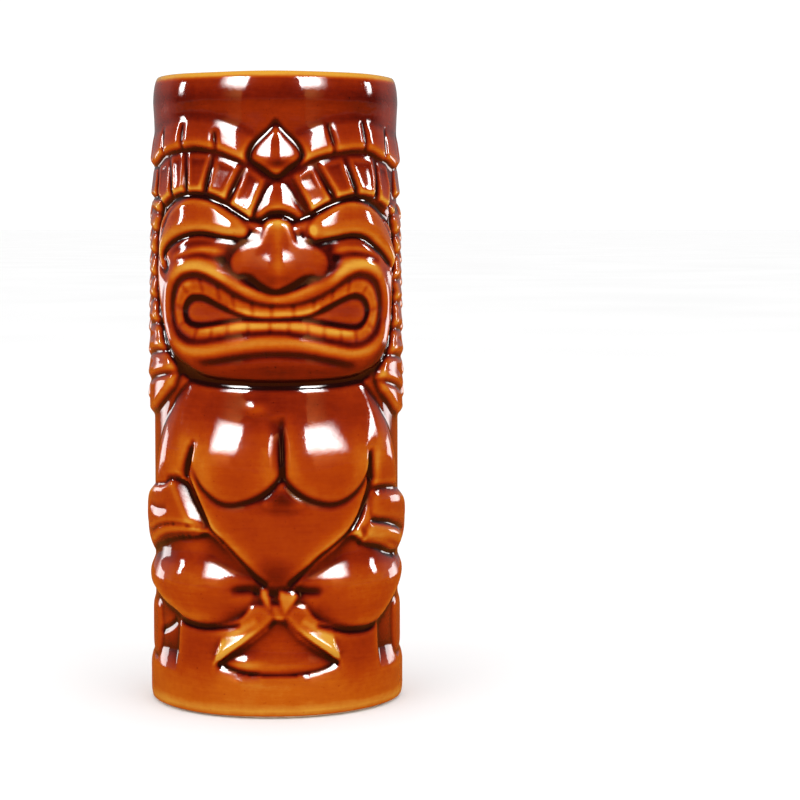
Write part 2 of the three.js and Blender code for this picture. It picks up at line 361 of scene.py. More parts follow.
torso = [
    (0, 86), (-12, 86), (-20, 85), (-25, 81.6), (-29.4, 77.9), (-32, 74.6), (-35.3, 70.8), (-38.2, 66),
    (-40.2, 60), (-41.5, 55), (-46, 51.5), (-52, 50), (-57, 46), (-58, 41), (-54, 38.2), (-47, 37.6),
    (-41, 36), (-30, 34), (-16, 32), (0, 30), (16, 32), (30, 34), (38, 35.6), (46, 37.6), (54, 38.2),
    (58, 41.5), (57, 46.5), (52, 50.5), (46, 52), (41, 55), (39.4, 60), (38, 64.4), (35.6, 69),
    (32.2, 73.4), (28.8, 77.4), (25, 81), (20, 84.6), (12, 86),
]


def trunk(x, z):
    """The trunk swells from the neck to the belly and draws in again below it."""
    places = [30, 34, 38, 43, 49, 55, 60, 66, 72, 77, 81]
    return eased(z, places, [0.8, 1.4, 2.0, 2.45, 2.6, 2.5, 2.3, 1.9, 1.4, 0.9, 0.4])


def chest(x, z):
    """The chest leans out from the collarbones and turns under at its lower edge."""
    places = [52, 57, 59.5, 61.5, 64, 68, 72, 76, 80]
    lean = eased(z, places, [3.4, 3.7, 3.78, 3.7, 3.35, 2.35, 1.4, 1.05, 0.75])
    return trunk(x, z) + (lean - trunk(x, z)) * smooth((27 - np.abs(x - 1.2)) / 10)


pad(torso, trunk, 5.5, foot=0.1)
belly = [
    (0, 76), (-14, 74), (-20, 70), (-21.6, 66), (-22.9, 62), (-23.3, 58.6), (-21.6, 54.4), (-19.4, 50),
    (-17.4, 45.8), (-14, 42.6), (-11, 39.8), (-8, 36.9), (-4.6, 33.8), (0, 31.6), (4.6, 33.9), (8, 36.4),
    (11, 38.9), (15, 41.5), (19, 44.4), (21.7, 47.8), (23.4, 52), (24.4, 56), (24.4, 60), (23.6, 65),
    (21, 70), (14, 74),
]
pad(belly, lambda x, z: trunk(x, z) + 0.1, 3.5, foot=1.3)
for pec in (
    [(1.2, 82), (-14, 82), (-24, 80), (-27, 74), (-25, 69), (-22.4, 65), (-21.9, 62.5), (-20.7, 60),
     (-18.4, 56), (-15, 53.3), (-11.8, 52.4), (-8, 53), (-4, 54.6), (-0.9, 57), (1.1, 60), (1.1, 67)],
    [(1.2, 82), (14, 82), (24, 80), (27.6, 74), (26.4, 69), (24.6, 65), (24, 62.5), (23.3, 60), (20.6, 55.7),
     (17.3, 53.3), (14, 52.4), (10.8, 52.7), (7, 54), (4, 56), (2.2, 58.4), (1.3, 62), (1.3, 67)],
):
    pad(pec, chest, 4.0)
swell((-20, 64), (8.5, 8), 1.1)
swell((23.5, 64), (9, 8), 1.6)
stroke([(-0.2, 73), (0.2, 67), (1, 57.5)], 2.0, -0.75, (0.6, 0.5))
stroke([(1.4, 73.5), (1.3, 66), (1.2, 57.5)], 0.8, -0.55, (0.6, 0.4))
sternum = [
    (0.9, 57.4), (-1.6, 54.8), (-3.6, 52.4), (-2.4, 51.3), (1.6, 50.9), (5.8, 51.2), (6.8, 52.2),
    (4, 54.6),
]
pad(sternum, lambda x, z: trunk(x, z) + 0.38, 1.8)
folds = (
    [(-22.6, 61), (-20.9, 58.6), (-18.4, 55.4), (-15, 52.8), (-11.8, 51.9), (-8, 52.5), (-4, 54.1),
     (-0.9, 56.5), (1.1, 59)],
    [(24.2, 60.6), (23.3, 58.6), (20.6, 55.1), (17.3, 52.8), (14, 51.9), (10.8, 52.2), (7, 53.5), (4, 55.5),
     (2, 58.4)],
)
for fold in folds:
    stroke(fold, 0.75, -0.3, (0.2, 0.1))

# Armpits, and the sleeve-like fold that runs down to each hand.
stroke([
    (-21, 67.5), (-22.4, 64.4), (-23.8, 61), (-24, 58), (-22.6, 55.4), (-20.6, 51.6), (-18.6, 48),
    (-17.2, 45.2), (-14, 42.6), (-11, 39.8), (-8, 36.9), (-5, 34.1), (-2.4, 32.4),
],
       0.85, -1.15, (0.12, 0.1))
stroke([
    (23.9, 65), (24.5, 61), (25, 58), (24.8, 55), (24, 52.6), (22.8, 50), (21.4, 47.6), (19, 44.7),
    (15, 41.6), (11, 39), (8, 36.5), (5, 34.2), (2.6, 32.4),
],
       0.85, -1.15, (0.12, 0.1))
stroke([(-22, 66), (-23.6, 62.4), (-25.2, 58.8)], 1.4, -0.6, (0.9, 0.1))
stroke([(24.2, 64.5), (24.7, 60.5), (25.1, 57)], 1.1, -0.6, (0.9, 0.1))
stroke([(-24, 58.4), (-28, 58), (-31.5, 57.2)], 0.7, -0.7, (0.1, 0.5))
stroke([(25.3, 55), (30, 55), (35, 54.5), (41, 53.8)], 0.8, -0.9, (0.1, 0.3))
stroke([(-21.8, 61), (-20.8, 56), (-18.8, 51), (-16.4, 46.4), (-13.6, 44)], 0.6, 0.3, (0.3, 0.3))

# A small mark under the left collarbone.
swell((-5, 75.2), (2.8, 1.4), 0.5)

# Upper arms swell towards the shoulder; the hands rest on the knees.
for side in (-1, 1):
    swell((side * 31, 64), (5, 8), 0.6, side * 25)
HAND = 2.9
hand_left = [
    (-24.6, 57), (-29, 57.4), (-33, 56), (-40, 55), (-45, 52), (-46, 46), (-42, 43.2), (-35, 45.2),
    (-29, 46.2), (-23, 46.2), (-18.4, 45.8), (-19.4, 49), (-21.6, 52.6),
]
hand_right = [
    (26.2, 54), (31, 54), (36, 53.4), (42, 52.6), (46, 50), (46, 45.4), (42, 44.6), (36, 46), (31, 46.8),
    (25.6, 48), (24.7, 50.6),
]


def left_hand_level(x, z):
    """The left hand rises out of the body from its fingertips to its full height at the wrist."""
    return np.minimum(HAND, 1.3 - 0.54 * (0.83 * (x + 18.4) + 0.56 * (z - 45.8)))


pad(hand_left, left_hand_level, 1.1, foot=0.9)
pad(hand_right, HAND, 2.8, foot=1.9)
stroke([(-31, 50), (-36, 49.6), (-41, 50)], 1.0, -0.4, (0.5, 0.3))
for finger in (
    [(24.8, 47.2), (28, 46.6), (32, 45.8), (36, 44.8), (40, 43.6), (42, 41.6), (40.4, 39.4), (37, 40.2),
     (31, 41.6), (27, 42.3), (24, 43), (23.4, 45)],
    [(23, 42), (27, 41), (31, 39.8), (35, 38.6), (38.4, 38.6), (38.2, 36.4), (34, 35.4), (28, 36), (23, 38)],
):
    pad(finger, HAND, 2.0, foot=1.9)

# Pedestal: it carries the base band up to the legs in front, between two steps.
pedestal = [
    (-27.6, 6), (27.6, 6), (29.6, 8), (29.4, 21), (28, 24), (20, 26), (0, 28), (-20, 26), (-27, 24),
    (-28.2, 21), (-28.8, 8),
]
pad(pedestal, lambda x, z: np.interp(z, [6, 11, 24], [1.9, 1.85, 1.5]), 1.8)

# Thighs: crossed-leg bulges that overhang dark slots.
thigh_left = [
    (-17.8, 44.6), (-22, 43.8), (-27, 43.2), (-32, 42.3), (-37, 40.8), (-42, 39), (-46, 36.5), (-47, 33),
    (-43, 29.6), (-38, 27.9), (-33, 25.9), (-29, 24.7), (-25, 23.1), (-20, 22.3), (-14, 22.8), (-9, 24.6),
    (-6.6, 28), (-5.4, 33.4), (-8, 36.4), (-11, 39.2), (-14, 42),
]
thigh_right = [
    (21, 43.6), (19, 43.8), (15, 40.9), (11, 38.3), (8, 35.8), (6, 33), (7, 28), (9.4, 24.4), (13, 22.7),
    (18, 21.3), (24, 20.8), (28, 21.5), (31, 22.9), (35, 25.7), (41, 29.6), (46, 33), (46, 36.6),
    (41.5, 37), (38.6, 38.4), (34, 38.6), (29, 40.4), (24, 41.6),
]


def knee(x, z):
    """A thigh rises outwards to the knee, slopes back above it and turns under below, to a soft floor."""
    rise_and_fall = eased(z, [21, 25, 29, 32.5, 34, 38.5, 43], [2.3, 2.9, 3.35, 3.35, 3.0, 1.2, 1.1], 1.5)
    places = [6, 9, 12, 16, 20, 23, 27, 34, 46]
    inwards = eased(np.abs(x), places, [2.3, 2.26, 1.9, 1.06, 0.3, 0.0, 0.0, 0.3, 1.0], 1.5)
    least, firmness = 0.4, 5
    return np.logaddexp(firmness * (rise_and_fall - inwards), firmness * least) / firmness


for thigh in (thigh_left, thigh_right):
    pad(thigh, knee, 2.4, foot=0.8)
thigh_line = [(-17.6, 45.1), (-22, 44.4), (-27, 43.8), (-32, 43), (-37, 41.4), (-41, 39.8), (-45, 38.4)]
stroke(thigh_line, 0.7, -1.0, (0.1, 0.2))
stroke([(25, 47.2), (28, 46.7), (32, 46), (36, 45), (41, 43.8), (45, 43)], 0.7, -0.9, (0.1, 0.2))
stroke([(23.5, 42.1), (27, 41.2), (31, 40), (34, 38.6), (38, 37)], 0.7, -0.9, (0.1, 0.2))
stroke([(22.3, 46), (23, 43.6), (22.4, 41.2)], 0.6, -0.5, (0.2, 0.2))

# Slots under the thighs, and the pits between the legs.
slots = (
    [(-28, 22.9), (-25, 22.2), (-20, 21.7), (-14, 22), (-9, 22.9)],
    [(9.5, 22.6), (13, 21.8), (18, 20.6), (24, 20.4), (28, 21.2)],
)
for slot in slots:
    stroke(slot, 0.6, -0.7, (0.2, 0.2))
stroke([(-12, 31), (-8, 31.5), (-4.5, 31.7)], 1.3, -0.45, (0.5, 0.3))
stroke([(11.5, 30.7), (8, 30.9), (4.5, 31.6)], 1.25, -0.45, (0.5, 0.3))
pad([
    (-4.4, 30.9), (-3.4, 31.9), (-2.2, 31.3), (-1.7, 29), (-1.2, 26.2), (-0.6, 24.6), (-1.8, 25.8),
    (-3.6, 28.4),
], 1.6, 1.1, foot=0.7)
pad([
    (0.3, 31.2), (2.6, 31), (5.2, 30.4), (4, 27.6), (2.4, 25.4), (1.3, 25.2), (0.6, 27.6),
], 1.7, 1.2, foot=0.7)

# Feet: crossed ankles over a low mound that leans back from the pedestal's ledge.
mound = [
    (0.5, 24.2), (-3.4, 21), (-7.4, 18), (-11.4, 15.2), (-15.4, 12.9), (-11.8, 11.7), (-7.6, 10.8),
    (0, 10.3), (5, 10.5), (10.2, 11.1), (15.8, 12.8), (12, 15), (8, 17.7), (4.4, 20.5),
]


def mound_level(x, z):
    """The mound leans back from its lower edge."""
    return eased(z, [10, 12.4, 15.2, 18, 24], [1.3, 1.3, 0.7, 0.55, 0.5], 1.0)


pad(mound, mound_level, 1.2, foot=0.6)
swell((-8.6, 13.1), (5.2, 1.8), 0.62)

# Each foot's upper face slopes up and back from the mound's edge, and stands prouder outwards.
FOOT_TIP = 17.0
FOOT_TOP = 24.6
FOOT_PITCH = 0.72
FOOT_SLOPE = 0.46
for _, i, j, x, z in windows(np.array([(-FOOT_TIP, 12.0), (FOOT_TIP, 28.0)]), 0):
    above = z - FOOT_TOP + FOOT_PITCH * np.abs(x - 0.3)
    ridge = 1.7 + 0.04 * np.abs(x) + 0.010 * x * x
    tip = 1.6 + 0.9 * (FOOT_TIP - np.abs(x))
    bevel = np.minimum(ridge, tip) - FOOT_SLOPE * above
    relief[j, i] = np.where(above > 0, np.maximum(relief[j, i], bevel), relief[j, i])
stroke([(-0.4, 24.4), (-3.6, 21.7), (-7.6, 18.7), (-11.6, 15.9), (-15.8, 13.2)], 0.55, -1.0, (0.05, 0.15))
stroke([(1.4, 24.4), (4.8, 21.2), (8.4, 18.4), (12.3, 15.7), (16.2, 13.3)], 0.55, -1.0, (0.05, 0.15))
stroke([
    (-16, 13.2), (-12, 11.6), (-7.8, 10.7), (0, 10.2), (5, 10.4), (10.4, 10.9), (16.2, 12.9),
], 1.5, -0.4)
stroke([(-15.4, 12.8), (-11.5, 11.6), (-7.5, 10.8), (-4, 10.5)], 1.3, -0.42, (0.2, 0.4))

# Recesses beside the pedestal, each with a block standing in it.
for block in (
    [(-38, 24.6), (-46, 25.6), (-58, 24), (-58, 13), (-46, 12), (-38.6, 12.6)],
    [(38.6, 24.6), (46, 25.6), (58, 24), (58, 13), (46, 12), (39, 12.6)],
):
    pad(block, 1.3, 3.0, foot=0.7)
stroke([(-29.5, 22.6), (-33, 20.5), (-38.5, 18.5)], 0.8, -0.6, (0.1, 0.3))

# ---- Face: a rounded block that falls away steeply to the hair ----

face = [
    (0, 120), (8, 121), (15, 124.2), (22, 125.4), (28, 124), (33, 121.3), (37, 119), (38.4, 114),
    (37.8, 110), (38, 107), (37.6, 102), (36.6, 96), (34.6, 90.6), (30.8, 86), (25, 83.6), (18, 82.2),
    (9, 81.6), (0, 81.4), (-9, 81.7), (-18, 82.6), (-24, 84.6), (-29.6, 87.2), (-33.2, 91.6), (-36.2, 97),
    (-38, 102), (-39, 107), (-38.6, 112), (-38.2, 117), (-36, 121.5), (-31, 124.6), (-26, 126), (-20, 126),
    (-14, 124), (-8, 121),
]
pad(face, 2.3, 3.0, crown=0.3, foot=0.3)

# Brow rolls, each with a flatter slope above the roll, and the lids under them.
brow_left = [
    (-6.3, 118.3), (-8.7, 120.7), (-12, 122.6), (-16, 124.7), (-20, 125.7), (-25, 125.8), (-29, 124.4),
    (-32.2, 122), (-34.8, 118), (-36.2, 114), (-35.6, 110), (-33.8, 107.8), (-31.8, 107.9), (-31.2, 109.6),
    (-33, 112.3), (-30, 114.9), (-26, 116.3), (-22, 117), (-18, 117), (-13, 116.2), (-9.5, 115.6),
    (-7, 116.3),
]
brow_right = [
    (7.5, 118.6), (9.5, 121), (12.5, 122.8), (16, 124.4), (20, 125.2), (25, 124.5), (29, 122.8), (33, 120),
    (36.5, 116), (38, 112), (37, 109.2), (35, 107.5), (34.6, 109.3), (31, 111.8), (28, 113.7), (24, 116),
    (20, 116.7), (15, 116), (11, 115), (8.5, 115.6),
]
brow_peak = [
    (-36, 112), (-34, 115), (-31, 117.4), (-26, 119.3), (-20, 119.9), (-15, 119.2), (-10, 117.6),
    (-6, 116.6), (8, 117.2), (11, 118), (16, 119.6), (21, 120.2), (26, 119.4), (30, 117.4), (34, 114),
    (37, 110),
]


def brow_level(x, z):
    """A brow slopes out from the headdress to its peak, then rolls under."""
    above = z - np.interp(x, *zip(*brow_peak))
    return 3.25 - 0.2 * np.maximum(above, 0) - 0.03 * np.maximum(-above, 0)


for brow in (brow_left, brow_right):
    pad(brow, brow_level, 2.2, foot=1.2)
stroke([
    (-8.5, 120.6), (-13, 122.7), (-18, 124.5), (-23, 124.9), (-28, 123.4), (-31.5, 120.5),
], 0.5, 0.22, (0.1, 0.3))
stroke([(9.5, 121), (15, 123.4), (20, 124.3), (25, 123.6), (30, 121.2)], 0.5, 0.2, (0.1, 0.3))
stroke([
    (-9.5, 115.6), (-13, 116), (-18, 117), (-22, 117), (-26, 116.1), (-30, 114.6), (-33, 112.6),
    (-34, 110.6),
], 0.7, -0.9)
stroke([
    (10, 114.9), (15, 115.8), (20, 116.5), (24, 115.9), (28, 113.6), (31, 111.8), (34.5, 109.3),
], 0.7, -0.9)
swell((-32.6, 109.3), (1.6, 1.5), -0.8)

# Eyes: narrow hollows with a lower lid.
stroke([(-13, 114.2), (-19, 115.1), (-25, 114.4), (-31, 112.6)], 1.2, -0.55, (0.3, 0.3))
stroke([(13, 113.6), (19, 114.6), (24, 114.2), (29, 112)], 1.1, -0.5, (0.3, 0.3))
stroke([(-12.5, 113), (-18, 113.5), (-25, 112.2), (-29, 111.4)], 0.8, 0.35, (0.2, 0.4))
stroke([(13.5, 112.9), (18, 113.9), (24, 113.4), (28.5, 111.8)], 0.8, 0.35, (0.2, 0.3))
stroke([(-12.3, 110.6), (-17, 111.6), (-21, 112.1), (-28, 111)], 0.8, -0.5, (0.1, 0.4))
stroke([(14.3, 111.1), (18, 112.1), (22, 112.1), (26, 111.3), (28.8, 110)], 0.8, -0.55, (0.1, 0.3))

# Nose: a bridge between the brows that runs out into broad wings and a drooping tip.
stroke([
    (-6.2, 117), (-10.8, 115.2), (-13, 112), (-13.2, 108.6), (-10.6, 105.6), (-6, 104.6), (0, 102.6),
    (6, 104.4), (11, 104.8), (14.4, 107.4), (14.8, 111), (12.6, 114.6), (7.4, 116.6),
],
       1.8, -0.75, (0.15, 0.15))
wings = [
    (-2.6, 120.2), (-3.6, 118), (-4.7, 115.8), (-7, 115.3), (-9.5, 114.1), (-11.4, 112), (-11.9, 110),
    (-11.1, 107.9), (-9.4, 106.7), (-7.5, 107.1), (-6, 106.6), (-4.2, 105.1), (-2, 103.9), (0, 103.4),
    (2, 104), (4.5, 105.2), (6.5, 106.4), (8.5, 106.7), (10.6, 106.2), (12.7, 107.4), (13.6, 110),
    (12.6, 112.6), (10, 114.5), (7.5, 115.2), (5.5, 115.7), (4.3, 118), (3.2, 120.2), (0.3, 121),
]
pad(wings, lambda x, z: 3.35 - 0.1 * np.abs(x - 0.5), 1.7, foot=1.5)
swell((0.6, 108.6), (4.4, 3.4), 1.15)
swell((0.3, 115.5), (1.5, 5), 0.25)
for centre in ((-8.6, 110.4), (9.8, 110.2)):
    swell(centre, (3.4, 3), 0.22)
swell((-5.8, 117.4), (1.2, 1.2), -0.8)
swell((6.4, 116.8), (1.3, 1.3), -0.75)
swell((8.8, 117.9), (1.1, 1.4), 0.4)

# Mouth: lips as one ring, a groove, the ring of teeth, and the lobes of the tongue behind them.
lips = [
    (0, 102.9), (-4, 103.6), (-8, 105.2), (-12, 107.4), (-16, 109.3), (-20, 110.4), (-24, 110.5),
    (-28, 109.4), (-31, 106.8), (-32.4, 103), (-32.7, 98), (-31.8, 93.5), (-29, 90), (-25, 88.2),
    (-20, 87.4), (-14, 88), (-7, 89.3), (0, 89.8), (7, 89.4), (14, 88), (20, 86.6), (26, 87.6),
    (30.2, 90.2), (32.6, 94.5), (33.6, 99.5), (33, 104), (31, 107.8), (27.5, 110.2), (23, 111),
    (18.5, 110.3), (14, 108), (9, 105.6), (5, 104),
]
pad(lips, 2.5, 4.0)
stroke([
    (-30.6, 95), (-31.2, 99), (-30.8, 103), (-29.5, 106.2), (-27, 108.4), (-24, 109.3), (-20, 109.3),
    (-16, 108.3), (-12, 106.6), (-8, 104.4), (-4, 102.9), (0, 102.2), (5, 103.1), (9, 104.6), (14, 106.8),
    (18, 109), (22, 109.8), (26, 109.4), (29, 107.4), (31.2, 104), (32, 100), (31.4, 96),
], 1.7, 0.7)
stroke([
    (-30.6, 95), (-29, 91.8), (-26, 89.8), (-23, 88.9), (-18, 88.8), (-12, 89.8), (-6, 90.9), (0, 91.2),
    (6, 90.8), (12, 89.5), (18, 88.2), (23, 88.3), (27, 89.6), (29.8, 92), (31.4, 96),
],
       1.5, 0.6)
mouth = [
    (0, 100.6), (-5, 101.3), (-10, 103.6), (-14, 106), (-19, 108.1), (-23, 108.2), (-26.6, 107),
    (-28.8, 104.3), (-29.8, 100), (-29.2, 95.6), (-27.4, 92.4), (-24, 90.5), (-20, 90.2), (-15, 90.9),
    (-8, 92.1), (0, 92.7), (6, 91.8), (13, 90.4), (20, 89.2), (25.2, 90.4), (29.1, 93.6), (30.2, 99),
    (29.5, 103.8), (27, 107), (22, 108.3), (18, 107.1), (14, 104.6), (10, 102.6), (5, 100.9),
]
pad(mouth, 2.05, 1.5)
teeth = [
    (0, 99.8), (-5, 100.3), (-10, 102), (-14, 104.2), (-19, 106.2), (-23, 106.3), (-25.6, 105.2),
    (-27.3, 102.8), (-28, 99.4), (-27.4, 96.2), (-25.8, 93.7), (-22.6, 92), (-19, 91.8), (-14, 92.5),
    (-8, 93.5), (0, 93.9), (6, 93.1), (13, 91.9), (20, 90.9), (24.4, 92), (27.4, 95), (28.4, 99),
    (27.6, 102.6), (25.4, 105.4), (21.6, 106.4), (18, 105.4), (14, 103.3), (10, 101.4), (5, 100.2),
]
pad(teeth, 2.6, 1.5, foot=2.0)
slit = [
    (0, 97.2), (-5, 97.4), (-9, 98.4), (-14, 100.5), (-18, 102.4), (-21.6, 102.7), (-23.8, 101.8),
    (-25.2, 99.7), (-25.2, 97.2), (-23.8, 95.2), (-21, 94.4), (-17, 94.6), (-11, 95.8), (-5, 96.1),
    (0, 96.1), (6, 96), (12, 94.9), (17, 94), (21.4, 93.8), (24, 95.3), (25.5, 98.2), (24.9, 100.9),
    (22.8, 102.6), (20, 103), (16, 101.7), (12, 99.9), (7.5, 98),
]
pad(slit, 1.55, 0.8)
for lobe in (
    [(-8, 97.1), (-13, 99), (-18, 100.9), (-21.3, 101), (-23.3, 99.7), (-23.7, 97.7), (-22.2, 96),
     (-19, 95.6), (-15, 96), (-10, 96.6)],
    [(8, 97), (12, 98.6), (16.5, 100.7), (20, 101.5), (22.6, 100.9), (24, 98.7), (23.3, 96.3), (21, 95.1),
     (17, 95.4), (12, 96.2)],
):
    pad(lobe, 2.2, 1.5, foot=1.5)

# The gaps between the teeth, from their outer ends to the slit.
for x_out, z_out, x_in, z_in in (
    (-25.5, 104.6, -23.4, 102.8), (-19.8, 106.6, -18.7, 102.9), (-14.8, 104.8, -14, 101),
    (-10.8, 102.6, -10.2, 98.9), (-6, 100.9, -5.6, 97.5), (-1.2, 100.2, -1.1, 97), (4.1, 100.3, 4.2, 97),
    (9.2, 101.5, 9.2, 98.8), (14.2, 103.8, 13.8, 101), (18.9, 106, 18.4, 102.8), (24.6, 104.6, 22.8, 102.6),
    (-27.8, 100, -25, 99), (-26.6, 94.8, -24.2, 96), (28, 99, 25.4, 98.6), (26.4, 94, 24.4, 95.6),
    (-21.4, 91.8, -20.6, 94.4), (-16.4, 92.2, -16.2, 94.7), (-12, 92.8, -12, 95.6), (-6.8, 93.3, -6.8, 96),
    (-1.5, 93.6, -1.5, 96.2), (3, 93.5, 3, 96.1), (7.6, 92.7, 7.6, 95.8), (11.7, 92, 11.8, 95),
    (16.3, 91.3, 16.2, 94), (20.6, 90.9, 20.8, 93.8),
):
    stroke([(x_out, z_out), (x_in, z_in)], 0.4, -0.3)

# Chin: a crease under the lower lip and a band that turns under to the neck.
stroke([
    (-22, 86), (-16.5, 86.4), (-11.5, 87.2), (-6, 88.1), (0, 88.4), (6, 88.1), (11.5, 87), (16.5, 85.9),
    (21, 85.2),
], 0.9, -0.45, (0.3, 0.3))

# The neck is a deep line between chin and collarbones.
neck = [
    (-27.5, 84.2), (-24, 82.3), (-18, 81.3), (-8, 80.9), (0, 80.8), (8, 80.9), (18, 81.2), (24, 82),
    (27, 83.4),
]
stroke(neck, 0.9, -0.75, (0.05, 0.05))

# The lower back is plain wall with a shallow panel, which crosses the back seam.
pad([(62, 62), (100, 63.5), (139, 62), (139, 18), (100, 16.5), (62, 18)], 1.0, 3.5)

# ---- Glaze: it levels the relief, and runs thin over edges and thick in hollows ----

# Patches where the glaze levels small relief: centre, half width, half height, and how much.
rise = wall_z[:, None]
levelled = np.zeros_like(relief)
for x, z, wide, high, amount in (
    (-16, 98, 17, 13, 1), (16, 98, 17, 13, 1), (-14, 112, 4.5, 3.5, 0.8), (15, 112, 4.5, 3.5, 0.8),
    (-9, 114.6, 4.5, 2.2, 0.4), (10, 114.4, 4.5, 2.2, 0.4), (-22, 112.4, 9, 2.4, 0.55),
    (22, 112.4, 8, 2.4, 0.55), (0, 11.4, 17, 1.9, 0.5), (0, 117, 4, 3, 0.5), (-18, 126.2, 13, 1.6, 0.6),
    (18, 125.8, 13, 1.6, 0.6), (0, 29.5, 8, 4, 0.55), (-7, 117.5, 3, 3, 0.6), (8, 117, 3, 3, 0.6),
):
    levelled += amount * np.exp(-(((wall_x[None] - x) / wide) ** 4) - (((rise - z) / high) ** 4))
levelled = levelled.clip(0, 1)
surface = blurred(relief, 0.46)
surface += levelled * (0.2 * blurred(relief, 0.9) + 0.8 * blurred(relief, 2.6) - surface)

# Glaze gathers where the wall is lower than its surroundings and drains where it is higher, near and far.
hollow = np.zeros_like(relief)
for reach, gathers, drains in ((0.8, 0.8, 0.75), (2.0, 0.40, 0.26), (5.0, 0.15, 0.05)):
    lower = blurred(relief, reach) - relief
    hollow += gathers * np.maximum(lower, 0) + drains * np.minimum(lower, 0)
# The glaze's depth, from the hollows; some of the patches below also paint shade into it.
glaze_and_shade = 0.48 + blurred(hollow, 0.32)
surface -= SLIMMER * smooth((rise - 65) / 75)

# Rings round the mug: the collar is thicker, and the base band, the foot's edge and the lip are thinner.
glaze_and_shade += 0.09 * smooth((rise - 136) / 3) + 0.07 * np.exp(-(((rise - 131.5) / 4.5) ** 4))
glaze_and_shade += 0.14 * np.exp(-(((rise - 150.3) / 2.2) ** 2))
glaze_and_shade -= 0.15 * smooth((14 - rise) / 8) + 0.16 * np.exp(-(((rise - 2) / 1.2) ** 2))
glaze_and_shade -= 0.6 * smooth((rise - 154.0) / 1.4)

# Where the glaze gathered or drained while it was molten, and patches of painted shade under the nose and on
# the chin's underside: centre, half width, half height, and how much thicker. The second list applies on both
# sides.
for x, z, wide, high, amount in (
    (0, 34.5, 7, 4, 0.28), (0.6, 133.8, 3.4, 1.6, 0.46), (0, 137.5, 1.2, 4, 0.15),
    # (0.3, 106) and (-8.5, 106) paint shade under the nose's tip and left wing.
    (0.5, 126.5, 1.0, 2.6, 0.12), (0.3, 106, 6.5, 3.2, 0.26), (-8.5, 106, 4, 2, 0.08),
    # (9, 105.8) paints shade under the nose's right wing, and (0, 86) paints shade on the chin where it turns
    # under.
    (9, 105.8, 4, 2, 0.08), (-31, 100, 5, 9, 0.10), (32, 99, 4.5, 9, 0.08), (0, 86, 22, 2.4, 0.12),
    (-17, 98.4, 6, 2.4, 0.06), (17, 98.4, 6, 2.4, 0.1), (0, 77, 20, 3.5, 0.09), (1.3, 53, 4.2, 2.4, 0.04),
    (0, 16, 9, 5, -0.12), (-9, 31.4, 3.4, 1.2, 0.35), (8.6, 31, 3.2, 1.2, 0.35),
    (8.8, 117.9, 1.0, 1.2, -0.2), (-24, 148, 7, 7, 0.05), (25, 147, 7, 8, 0.09), (-33, 15, 4, 5, 0.16),
    (34, 15, 4, 5, 0.14), (-12, 20.8, 3.5, 2.4, -0.22), (12.5, 20.4, 3.5, 2.4, -0.25),
    # (0, 84.4) paints shade on the chin's underside.
    (2.6, 29, 2, 2.4, -0.15), (-20, 47, 6, 3, -0.06), (0, 84.4, 20, 1.6, 0.1), (-18, 64, 7, 6, -0.05),
    (0, 5, 13, 3, -0.06), (-24.6, 67, 2.5, 3, -0.16), (26.6, 65, 2.5, 4, -0.14), (1.4, 53.4, 4.0, 2.6, 0.3),
    (-28, 62, 3, 4, -0.08),
):
    swell((x, z), (wide, high), amount, field=glaze_and_shade)
for x, z, wide, high, amount in (
    (21.5, 40.5, 8, 3.5, -0.12), (11, 34.5, 4, 4, -0.1), (9, 29, 3, 3, -0.08), (23, 17, 5, 4, 0.06),
    (18, 111, 7, 2, -0.06),
):
    for side in (-1, 1):
        swell((side * x, z), (wide, high), amount, field=glaze_and_shade)
